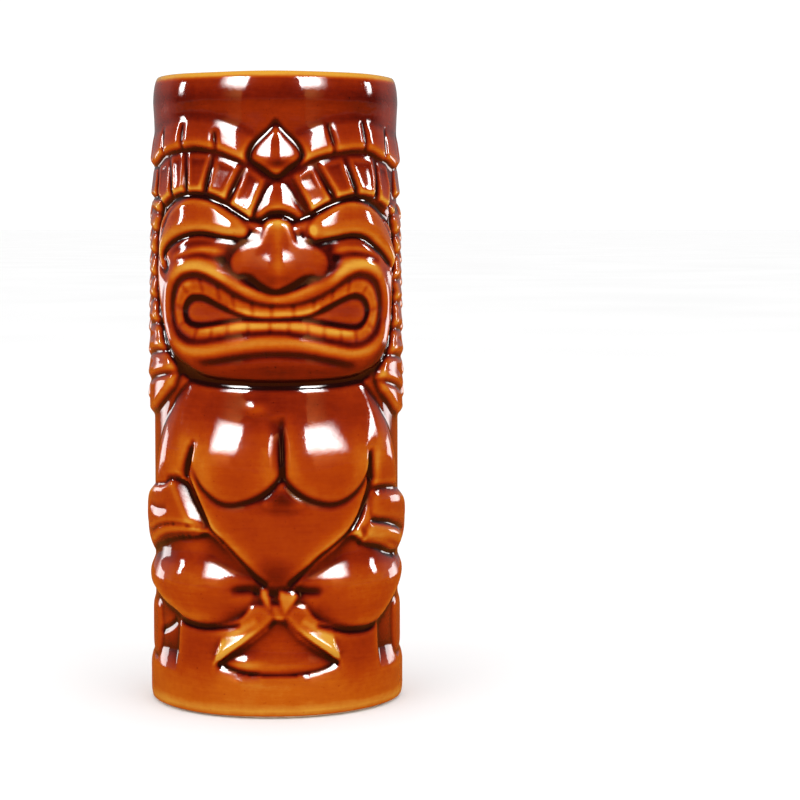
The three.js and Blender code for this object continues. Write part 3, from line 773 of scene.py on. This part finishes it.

# The same along lines, with painted shade under the upper lip, round and under the nose, along the face's
# lower edge and in the slots under the thighs: the path, its half width, and how much thicker.
for path, width, amount in (
    ([(-29, 106), (-24, 109), (-19, 109), (-12, 106.6), (-6, 103.6), (0, 102.2), (5, 103), (12, 105.8),
      (18, 108.8), (24, 109.6), (29.5, 107)], 1.5, -0.2),
    ([(-28, 91), (-22, 88.9), (-12, 89.8), (0, 91.1), (12, 89.5), (20, 88.2), (28, 90.6)], 1.3, -0.06),
    ([(-12, 99.5), (-6, 98.2), (0, 98), (6, 98), (11, 99.6)], 0.9, -0.24),
    ([(-20, 94), (-12, 94.6), (-5, 95), (5, 94.8), (12, 93.8), (20, 93)], 0.9, -0.28),
    ([(-26.4, 94), (-28, 99), (-26, 104), (-22, 105.4)], 0.9, -0.17),
    ([(25, 93), (27.6, 99), (26, 103.5), (22, 105.4)], 0.9, -0.12),
    # These two lines pool glaze at the top of the upper teeth and paint the shade that the upper lip casts
    # there.
    ([(0, 101.6), (-7, 102.4), (-13, 105), (-19, 107.6), (-24, 107.6), (-28, 105), (-29.6, 99), (-28, 93.4),
      (-22, 90.6)], 1.6, 0.1),
    ([(0, 101.4), (7, 102.2), (14, 104.8), (20, 107.6), (26, 107.2), (29.6, 103), (29.6, 97),
      (27, 92.4)], 1.6, 0.05),
    ([(-8, 97.8), (-15, 101), (-21, 102.4), (-25, 99.6), (-24, 95.6), (-18, 94.6), (-10, 96)], 1.1, 0.16),
    ([(8, 97.6), (15, 100.8), (21, 102.4), (25, 99.4), (23.4, 95), (17, 94.2), (10, 95.6)], 1.1, 0.04),
    ([(-20, 85.9), (-11, 87), (0, 88), (11, 87), (20, 85.2)], 1.2, 0.14),
    # Glaze pooled in the groove round the nose, with painted shade under the nose's tip and wings.
    ([(-5, 115.6), (-9.6, 114.4), (-12, 111), (-11.2, 107.6), (-7, 106.2), (-2, 103.4), (2, 103.4),
      (7, 105.8), (12.4, 106.6), (14, 110), (12.4, 113.4), (7, 115.6)], 1.0, 0.3),
    # Thicker glaze along the face's lower edge, which also paints the shade of the chin turning under.
    ([(-31.5, 91), (-28, 87), (-23, 84.2), (-14, 83), (0, 82.6), (14, 83), (23, 84), (28.5, 86.6),
      (32.5, 91)], 2.2, 0.4),
    ([(-17.2, 45), (-22, 44.4), (-27, 43.8), (-32, 43), (-37, 41.4)], 0.9, 0.12),
    # Painted shade in the slots under the thighs, over the glaze that pools there.
    ([(-27, 22.9), (-20, 21.7), (-14, 22.0), (-9, 22.9)], 0.9, 0.25),
    ([(10, 22.6), (18, 20.7), (24, 20.4), (28, 21.2)], 0.9, 0.25),
    ([(-26, 83.2), (-18, 81.3), (0, 80.8), (18, 81.2), (26, 82.8)], 0.9, 0.35),
    ([(-22.6, 61), (-18.4, 55.4), (-11.8, 51.9), (-4, 54.1), (1, 58.6)], 0.9, 0.14),
    ([(24.2, 60.6), (20.6, 55.1), (14, 51.9), (7, 53.5), (2, 58)], 0.9, 0.14),
    ([(-5, 24.2), (-9, 21.6), (-12.6, 18.9), (-15.6, 15.4)], 1.1, -0.22),
    ([(6, 24), (10, 21.2), (13.2, 18.6), (16, 15.4)], 1.1, -0.25),
):
    stroke(path, width, amount, field=glaze_and_shade)


def lowest(field, reach):
    """The least value within a square reach, in millimetres, of each cell."""
    for axis in (0, 1):
        least = field
        for step in range(1, round(reach / CELL) + 1):
            for way in (step, -step):
                moved = np.roll(field, way, axis)
                if axis == 0:
                    edge = slice(0, way) if way > 0 else slice(way, None)
                    moved[edge] = field[edge]
                least = np.minimum(least, moved)
        field = least
    return field


# The smoother wall that the hidden faces follow, and the relief as it shows inside the cavity.
hidden = blurred(lowest(surface, 2.5), 0.8)
echo = blurred(relief, 4.5) - ground[:, None]


def sample(field, x, z):
    """Reads a field of the wall at scattered points by bilinear interpolation."""
    column = (x - wall_x[0]) / (TURN / COLUMNS)
    row = np.clip(z / CELL, 0, len(wall_z) - 1.001)
    i, j = np.floor(column).astype(int), np.floor(row).astype(int)
    u, v = column - i, row - j
    i0, i1 = i % COLUMNS, (i + 1) % COLUMNS
    low = field[j, i0] * (1 - u) + field[j, i1] * u
    high = field[j + 1, i0] * (1 - u) + field[j + 1, i1] * u
    return low * (1 - v) + high * v


def spaced(start, stop, count, coarseness):
    """Positions whose spacing follows the coarseness, a function of position."""
    t = np.linspace(start, stop, 4000)
    density = 1 / coarseness(t)
    total = np.concatenate([[0], np.cumsum((density[1:] + density[:-1]) / 2)])
    return np.interp(np.linspace(0, total[-1], count), total, t)


# ---- Meshes: every piece is a closed skin of rings round the axis ----

FINE_COLUMNS = 276
FINE_ROWS = 286
HIDDEN_ROWS = 34


def column_width(x):
    """Columns are finer on the front than round the back."""
    return 0.45 + 0.85 * smooth((np.abs(x) - 43) / 8)


def row_height(z):
    """Rows are a little coarser at the base and the collar."""
    return 0.5 + 0.45 * smooth((9 - z) / 3) + 0.25 * smooth((z - 144) / 4)


ring_x = spaced(-TURN / 2, TURN / 2, FINE_COLUMNS + 1, column_width)[:-1]
ring_angle = ring_x / REFERENCE_RADIUS


def skin(name, rings, capped, material, depth=None):
    """Builds a piece from rings of (radius, height). A capped piece closes at the axis at both ends, and in
    any other the last ring joins the first. depth is how deep the glaze lies on each ring, with the shade
    painted into it on the outside."""
    count = len(ring_x)
    points, faces = [], []
    for radius, height in rings:
        radius = np.broadcast_to(radius, count) * MM
        height = np.broadcast_to(height, count) * MM
        points.append(np.stack([radius * np.sin(ring_angle), -radius * np.cos(ring_angle), height], 1))
    turn = np.arange(count)
    following = (turn + 1) % count
    for k in range(len(rings) - capped):
        a, b = k * count, ((k + 1) % len(rings)) * count
        faces += np.stack([a + turn, a + following, b + following, b + turn], 1).tolist()
    if capped:
        first = len(rings) * count
        base = first - count
        points.append([(0, 0, np.mean(rings[end][1]) * MM) for end in (0, -1)])
        faces += [(first, int(following[i]), int(i)) for i in turn]
        faces += [(first + 1, int(base + i), int(base + following[i])) for i in turn]
    mesh = bpy.data.meshes.new(name)
    mesh.from_pydata(np.vstack(points).tolist(), [], faces)
    mesh.polygons.foreach_set("use_smooth", [True] * len(mesh.polygons))
    if depth is not None:
        values = [np.broadcast_to(d, count) for d in depth]
        if capped:
            values.append([np.mean(depth[0]), np.mean(depth[-1])])
        attribute = mesh.attributes.new("glaze_depth_and_shade", "FLOAT", "POINT")
        attribute.data.foreach_set("value", np.concatenate(values).astype(np.float32))
    mesh.materials.append(material)
    mesh.update()
    piece = bpy.data.objects.new(name, mesh)
    bpy.context.scene.collection.objects.link(piece)
    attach(piece, "root")
    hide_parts(name.replace("_piece", ""))
    return piece


GLAZE_EDGE = 0.95
LIP_RISE = 6.5
LIP_BASE = HEIGHT - LIP_RISE
LIP_CREST = (RIM_RADIUS + CAVITY_RADIUS) / 2
INNER_REACH = LIP_CREST - CAVITY_RADIUS
row_z = spaced(GLAZE_EDGE, LIP_BASE, FINE_ROWS, row_height)
hidden_z = np.linspace(LIP_BASE - 1.0, GLAZE_EDGE + 0.8, HIDDEN_ROWS)
cavity_z = np.linspace(LIP_BASE - 1.5, CAVITY_FLOOR + 4.6, 60)

# Neither the lip nor the glaze's lower edge is quite level.
WAVES = 0.06 * np.sin(3 * ring_angle + 0.7) + 0.04 * np.sin(7 * ring_angle + 2.1)
EDGE_WAVES = 0.8 * WAVES


def all_round(field, z):
    """Reads a field at one height, at every column of a ring."""
    return sample(field, ring_x, np.full(len(ring_x), z))


def wall_radius(field, z):
    return CORE_RADIUS + all_round(field, z)


def cavity_radius(z):
    """The inside of a cast wall follows the relief outside, much softened, except at the rim and floor."""
    fade = smooth((LIP_BASE - 2 - z) / 12) * smooth((z - CAVITY_FLOOR - 4) / 10)
    return CAVITY_RADIUS + 0.32 * fade * all_round(echo, z)


def turned(start, stop, steps):
    """Turns from one angle to another, in degrees, as pairs of (cosine, sine)."""
    return [(math.cos(math.radians(a)), math.sin(math.radians(a))) for a in np.linspace(start, stop, steps)]


def lip(reach, c, s, depth=0.0, waves=WAVES):
    """A ring of the rounded lip, from the wall over the crest to the cavity. reach is how far the wall is
    from the crest, and depth is how far the ring lies under the glaze's face."""
    return LIP_CREST + (reach - depth) * c, LIP_BASE + (LIP_RISE - depth + waves) * s


def fillet(c, s, depth=0.0):
    """A ring of the rounded corner between the cavity's wall and floor, this far under the glaze's face."""
    middle = CAVITY_RADIUS - CAVITY_FILLET
    return middle + (CAVITY_FILLET + depth) * c, CAVITY_FLOOR + CAVITY_FILLET + (CAVITY_FILLET + depth) * s


def outside_rings():
    rows = []
    bottom = wall_radius(surface, GLAZE_EDGE)
    # The glaze ends above the foot in a rounded bead.
    for c, s in turned(-90, -10, 5):
        rows.append((bottom - COAT + COAT * c, GLAZE_EDGE + 0.35 * s + EDGE_WAVES, 0.3))
    for z in row_z:
        fade = max(0, 1 - (z - GLAZE_EDGE) / 3)
        rows.append((wall_radius(surface, z), z + EDGE_WAVES * fade, all_round(glaze_and_shade, z)))
    reach = wall_radius(surface, LIP_BASE) - LIP_CREST
    for c, s in turned(6, 90, 16):
        rows.append((*lip(reach, c, s), all_round(glaze_and_shade, LIP_BASE + LIP_RISE * s)))
    # From the crest the back of the coat runs down again, over the clay.
    for c, s in turned(90, 10, 4):
        rows.append((*lip(reach, c, s, COAT), 0.2))
    for z in hidden_z:
        rows.append((wall_radius(hidden, z) - COAT, z, 0.3))
    rows.append((bottom - EDGE_DEPTH, GLAZE_EDGE - 0.2 + EDGE_WAVES, 0.3))
    return rows


def clay_rings():
    # The recess, the bare foot ring and its rounded outer edge, up to the glaze.
    rings = [(r, RECESS) for r in (6, 14, 20, RECESS_RADIUS - 0.8)]
    rings += [(RECESS_RADIUS + 0.1, RECESS - 0.15), (RECESS_RADIUS + 0.5, 0.8)]
    rings += [(FOOT_INNER_RADIUS - 0.3, 0.3), (FOOT_INNER_RADIUS + 0.1, 0.06)]
    rings += [(r, 0.0) for r in np.linspace(FOOT_INNER_RADIUS + 0.5, FOOT_RADIUS - 0.5, 9)]
    rings += [(FOOT_RADIUS - 0.1, 0.03), (FOOT_RADIUS + 0.1, 0.12), (FOOT_RADIUS + 0.3, 0.35)]
    bottom = wall_radius(surface, GLAZE_EDGE) - EDGE_DEPTH
    rings += [(bottom - 0.08, 0.6), (bottom, 0.9)]

    # Under the glaze: up the wall, over the lip, down the cavity and across its floor.
    rings += [(wall_radius(hidden, z) - CLAY_DEPTH, z) for z in hidden_z[::-1]]
    reach = wall_radius(surface, LIP_BASE) - LIP_CREST
    rings += [lip(reach, c, s, CLAY_DEPTH, 0.0) for c, s in turned(10, 90, 4)]
    rings += [lip(INNER_REACH, c, s, CLAY_DEPTH, 0.0) for c, s in turned(100, 180, 5)]
    rings += [(cavity_radius(z) + CLAY_DEPTH, z) for z in cavity_z]
    rings += [fillet(c, s, CLAY_DEPTH) for c, s in turned(0, -90, 7)]
    rings += [(r, CAVITY_FLOOR - CLAY_DEPTH) for r in (18, 12, 5)]
    return rings


def liner_rings():
    # The back of the coat, from the middle of the floor up to the crest of the lip.
    rows = [(r, CAVITY_FLOOR - COAT, 0.5) for r in (5, 12, 18)]
    rows += [(*fillet(c, s, COAT), 0.5) for c, s in turned(-90, 0, 7)]
    rows += [(cavity_radius(z) + COAT, z, 0.5) for z in cavity_z[::-1]]
    rows += [(*lip(INNER_REACH, c, s, COAT), 0.3) for c, s in turned(180, 100, 5)]
    rows.append((*lip(INNER_REACH, 0, 1, COAT), 0.2))

    # Its face, from the crest down to the floor.
    rows += [(*lip(INNER_REACH, c, s), 0.10 + 0.25 * abs(c)) for c, s in turned(90, 180, 11)]
    rows += [(cavity_radius(z), z, 0.35 + 0.15 * smooth((150 - z) / 25)) for z in cavity_z]
    rows += [(*fillet(c, s), 0.5 - 0.7 * c * s) for c, s in turned(0, -90, 10)]
    rows += [(r, CAVITY_FLOOR, 0.52) for r in (20, 16, 12, 8, 4)]
    return rows


def underside_rings():
    rim, face = UNDERSIDE_RADIUS, RECESS - 0.3
    rows = [(4, face, 0.5), (9, face, 0.48), (14, face, 0.5), (19, face, 0.46)]
    rows += [(rim - 1.0, face - 0.03, 0.62), (rim - 0.4, face + 0.02, 0.4), (rim - 0.1, face + 0.14, 0.2)]
    rows += [(rim, RECESS, 0.2), (rim - 0.6, RECESS, 0.3), (12, RECESS, 0.3), (5, RECESS, 0.3)]
    return rows


def glaze_skin(name, rows, capped, material):
    """Builds a coat of glaze from rows of (radius, height, depth of glaze); on the outside coat that depth
    also holds painted shade.
    """
    skin(name, [row[:2] for row in rows], capped, material, [row[2] for row in rows])


# ---- Materials ----


class Graph:
    """Adds and links the nodes of a material, a light or the world."""

    def __init__(self, owner):
        owner.use_nodes = True
        self.tree = owner.node_tree

    def put(self, node, inputs):
        """Gives a node's inputs constants, or links them to outputs of other nodes."""
        for key, value in inputs.items():
            if isinstance(value, bpy.types.NodeSocket):
                self.tree.links.new(value, node.inputs[key])
            else:
                node.inputs[key].default_value = value

    def add(self, kind, inputs=None, output=0, **settings):
        """Adds a node and gives one of its outputs."""
        node = self.tree.nodes.new(kind)
        for key, value in settings.items():
            setattr(node, key, value)
        self.put(node, inputs or {})
        return node.outputs[output]

    def math(self, operation, a, b):
        return self.add("ShaderNodeMath", {0: a, 1: b}, operation=operation)

    def between(self, value, low, high, start=0.0, stop=1.0, **settings):
        """Takes a value from one range to another, and holds it at the ends."""
        inputs = {"Value": value, "From Min": low, "From Max": high, "To Min": start, "To Max": stop}
        return self.add("ShaderNodeMapRange", inputs, **settings)


class Look(Graph):
    """The graph of a material, which measures its noise in millimetres."""

    def __init__(self, name):
        self.material = bpy.data.materials.new(name)
        super().__init__(self.material)
        place = self.add("ShaderNodeTexCoord", output="Object")
        inputs = {"Vector": place, "Scale": 1 / MM}
        self.millimetres = self.add("ShaderNodeVectorMath", inputs, operation="SCALE")

    def shade(self, inputs):
        self.put(self.tree.nodes["Principled BSDF"], inputs)

    def noise(self, size, stretch=(1, 1, 1), detail=3.0, roughness=0.5):
        """Noise about a mean of 0.5, with features about size millimetres wide."""
        squeeze = {0: self.millimetres, 1: tuple(1 / s for s in stretch)}
        where = self.add("ShaderNodeVectorMath", squeeze, operation="MULTIPLY")
        inputs = {"Vector": where, "Scale": 1 / size, "Detail": detail, "Roughness": roughness}
        return self.add("ShaderNodeTexNoise", inputs)

    def scatter(self, value, size, amount, **options):
        """Adds noise to a value, centred so that it doesn't shift it."""
        centred = self.math("SUBTRACT", self.noise(size, **options), 0.5)
        return self.math("ADD", value, self.math("MULTIPLY", centred, amount))

    def mottle(self, mean, size, amount):
        """Noise about a mean."""
        return self.math("ADD", self.math("MULTIPLY", self.noise(size), amount), mean - amount / 2)

    def ramp(self, value, stops):
        output = self.add("ShaderNodeValToRGB", {0: value})
        elements = output.node.color_ramp.elements
        while len(elements) < len(stops):
            elements.new(0.5)
        for element, (place, colour) in zip(elements, stops):
            element.position = place
            element.color = (*colour, 1)
        return output

    def bump(self, height, strength, distance):
        return self.add("ShaderNodeBump", {"Strength": strength, "Distance": distance, "Height": height})


GLAZE_RAMP = [
    (0.00, (0.60, 0.28, 0.030)),
    (0.14, (0.50, 0.17, 0.015)),
    (0.26, (0.43, 0.085, 0.003)),
    (0.40, (0.33, 0.036, 0.001)),
    (0.52, (0.25, 0.018, 0.001)),
    (0.66, (0.145, 0.007, 0.0005)),
    (0.80, (0.055, 0.002, 0.0005)),
    (1.00, (0.014, 0.001, 0.0005)),
]
CLAY_RAMP = [
    (0.2, (0.42, 0.30, 0.18)),
    (0.5, (0.62, 0.48, 0.33)),
    (0.8, (0.72, 0.60, 0.45)),
]


def glaze(name):
    """Translucent amber glaze: its colour runs from gold where it is thin to near black where it pools, and
    where shade is painted into its depth.
    """
    g = Look(name)
    depth = g.add("ShaderNodeAttribute", attribute_name="glaze_depth_and_shade", output="Fac")
    depth = g.scatter(depth, 9.0, 0.16)
    depth = g.scatter(depth, 1.6, 0.09)
    depth = g.scatter(depth, 0.8, 0.13, stretch=(9, 9, 1), detail=5.0, roughness=0.65)
    depth = g.scatter(depth, 0.35, 0.05)
    specks = g.between(g.noise(0.55, detail=1.0), 0.73, 0.80, 0.0, 0.22)
    depth = g.math("ADD", depth, specks)
    peel = g.math("ADD", g.math("MULTIPLY", g.noise(1.3, detail=2.0), 0.3), g.noise(5.0, detail=1.0))
    g.shade({
        "Base Color": g.ramp(depth, GLAZE_RAMP),
        "Roughness": g.mottle(0.07, 3.0, 0.05),
        "IOR": 1.5,
        "Normal": g.bump(peel, 0.25, 0.0002),
    })
    return g.material


def bisque(name):
    """Bare fired clay: pale buff, matt, mottled and faintly gritty."""
    g = Look(name)
    tone = g.scatter(g.noise(2.5, detail=4.0), 0.3, 0.5)
    g.shade({
        "Base Color": g.ramp(tone, CLAY_RAMP),
        "Roughness": g.mottle(0.82, 0.8, 0.15),
        "Specular IOR Level": 0.3,
        "Normal": g.bump(g.noise(0.25, detail=4.0), 0.5, 0.0001),
    })
    return g.material


brown_glaze = glaze("brown_glaze_look")
liner_glaze = glaze("liner_glaze_look")
bare_clay = bisque("clay_look")

glaze_skin("outside_glaze_piece", outside_rings(), False, brown_glaze)
skin("clay_body_piece", clay_rings(), True, bare_clay)
glaze_skin("inside_glaze_piece", liner_rings(), True, liner_glaze)
glaze_skin("underside_glaze_piece", underside_rings(), True, liner_glaze)

# ---- Studio: pale floor, softboxes in front and beside, and pale surroundings behind ----

AMBIENT = 1.2
BACKDROP = 1.1
ROOM_DARK = 0.03
ROOM_PALE = 0.28
WHITE = (1.0, 1.0, 1.0, 1.0)
TABLE_WARM = (0.45, 0.12, 0.02, 1.0)
FLOOR_REACH = 60.0

scene = bpy.context.scene
scene.view_settings.view_transform = "Standard"
scene.view_settings.look = "None"

floor_mesh = bpy.data.meshes.new("floor")
floor_corners = [(x * FLOOR_REACH, y * FLOOR_REACH, 0) for x, y in ((-1, -1), (1, -1), (1, 1), (-1, 1))]
floor_mesh.from_pydata(floor_corners, [], [(0, 1, 2, 3)])
floor = bpy.data.objects.new("floor", floor_mesh)
scene.collection.objects.link(floor)
floor.visible_glossy = False
paper = Look("floor_paper")
tone = paper.ramp(paper.noise(400, detail=2.0), [(0.3, (0.86, 0.86, 0.86)), (0.7, (0.9, 0.9, 0.9))])
paper.shade({"Base Color": tone, "Roughness": 0.9})
floor_mesh.materials.append(paper.material)

world = bpy.data.worlds.new("studio")
scene.world = world
studio = Graph(world)


def blend(kind, factor, a, b):
    """Mixes two floats or two colours."""
    first, second, output = ("A", "B", 0) if kind == "FLOAT" else (6, 7, 2)
    return studio.add("ShaderNodeMix", {"Factor": factor, first: a, second: b}, output, data_type=kind)


# Reflections see a dark room behind the camera, pale behind the mug, and a warm table below. Matt surfaces
# are lit evenly, and the camera sees a white backdrop.
aim = studio.add("ShaderNodeSeparateXYZ", {0: studio.add("ShaderNodeTexCoord", output="Generated")}).node
rays = studio.add("ShaderNodeLightPath").node
glossy_ray, camera_ray = rays.outputs["Is Glossy Ray"], rays.outputs["Is Camera Ray"]
room = studio.between(aim.outputs["Y"], 0.25, 0.5, ROOM_DARK, ROOM_PALE)
below = studio.between(aim.outputs["Z"], -0.02, 0.0, 1.0, 0.0)
lit = blend("FLOAT", glossy_ray, AMBIENT, blend("FLOAT", below, room, 1.0))
seen = blend("FLOAT", camera_ray, lit, BACKDROP)
colour = blend("RGBA", glossy_ray, WHITE, blend("RGBA", below, WHITE, TABLE_WARM))
studio.put(studio.tree.nodes["Background"], {"Color": colour, "Strength": seen})

LIGHTS_AIM = Vector((0, 0, 0.08))


def softbox(
    name, azimuth, elevation, width, height, power,
    distance=1.2, glossy=True, diffuse=True, fade=None, tint=(1, 1, 1),
):
    """An area light round the mug; the azimuth is positive to the viewer's right. fade gives the shares of
    its width and height over which it dies away, at the edge nearest the camera's line and at the top."""
    light = bpy.data.lights.new(name, "AREA")
    light.shape = "RECTANGLE"
    light.size, light.size_y, light.energy = width, height, power
    light.color = tint
    lamp = bpy.data.objects.new(name, light)
    a, e = math.radians(azimuth), math.radians(elevation)
    towards = Vector((math.sin(a) * math.cos(e), -math.cos(a) * math.cos(e), math.sin(e)))
    lamp.location = LIGHTS_AIM + distance * towards
    lamp.rotation_euler = towards.to_track_quat("Z", "Y").to_euler()
    lamp.visible_glossy, lamp.visible_diffuse = glossy, diffuse
    scene.collection.objects.link(lamp)
    if fade:
        g = Graph(light)
        place = g.add("ShaderNodeNewGeometry", output="Parametric")
        across = g.add("ShaderNodeSeparateXYZ", {0: place}).node
        start, stop = (0.0, fade[0]) if azimuth < 0 else (1.0, 1.0 - fade[0])
        sideways = g.between(across.outputs["X"], start, stop, interpolation_type="SMOOTHSTEP")
        upright = g.between(across.outputs["Y"], 0.0, fade[1], interpolation_type="SMOOTHSTEP")
        g.put(g.tree.nodes["Emission"], {"Strength": g.math("MULTIPLY", sideways, upright)})


WARM = (1.0, 0.38, 0.10)
for name, side, azimuth in (("left", -1, -42), ("right", 1, 38)):
    softbox(f"window_{name}", azimuth, 25, 0.56, 0.48, 40, diffuse=False, fade=(0.65, 0.5))
    softbox(f"curtain_{name}", azimuth, 10, 0.45, 0.6, 3.0, diffuse=False, fade=(0.9, 0.7), tint=WARM)
    softbox(f"fill_{name}", azimuth, 32, 0.9, 0.9, 2.5, glossy=False)
    softbox(f"side_{name}", 99 * side, 15, 0.16, 0.26, 4.0, diffuse=False, fade=(0.5, 0.5))
    softbox(f"edge_{name}", 131 * side, -2, 0.36, 0.17, 1.0, distance=0.9, diffuse=False, fade=(0.5, 0.1))

CAMERA_DISTANCE, CAMERA_HEIGHT = 0.566, 0.1192
CAMERA_YAW, CAMERA_PITCH = math.radians(3.17), math.radians(3.45)
camera_data = bpy.data.cameras.new("camera")
camera_data.lens = 100.55
camera_data.shift_y = -0.05
camera_data.sensor_width = 36
camera = bpy.data.objects.new("camera", camera_data)
camera.location = (0, -CAMERA_DISTANCE, CAMERA_HEIGHT)
camera.rotation_euler = (math.pi / 2 - CAMERA_PITCH, 0, -CAMERA_YAW)
scene.collection.objects.link(camera)
scene.camera = camera
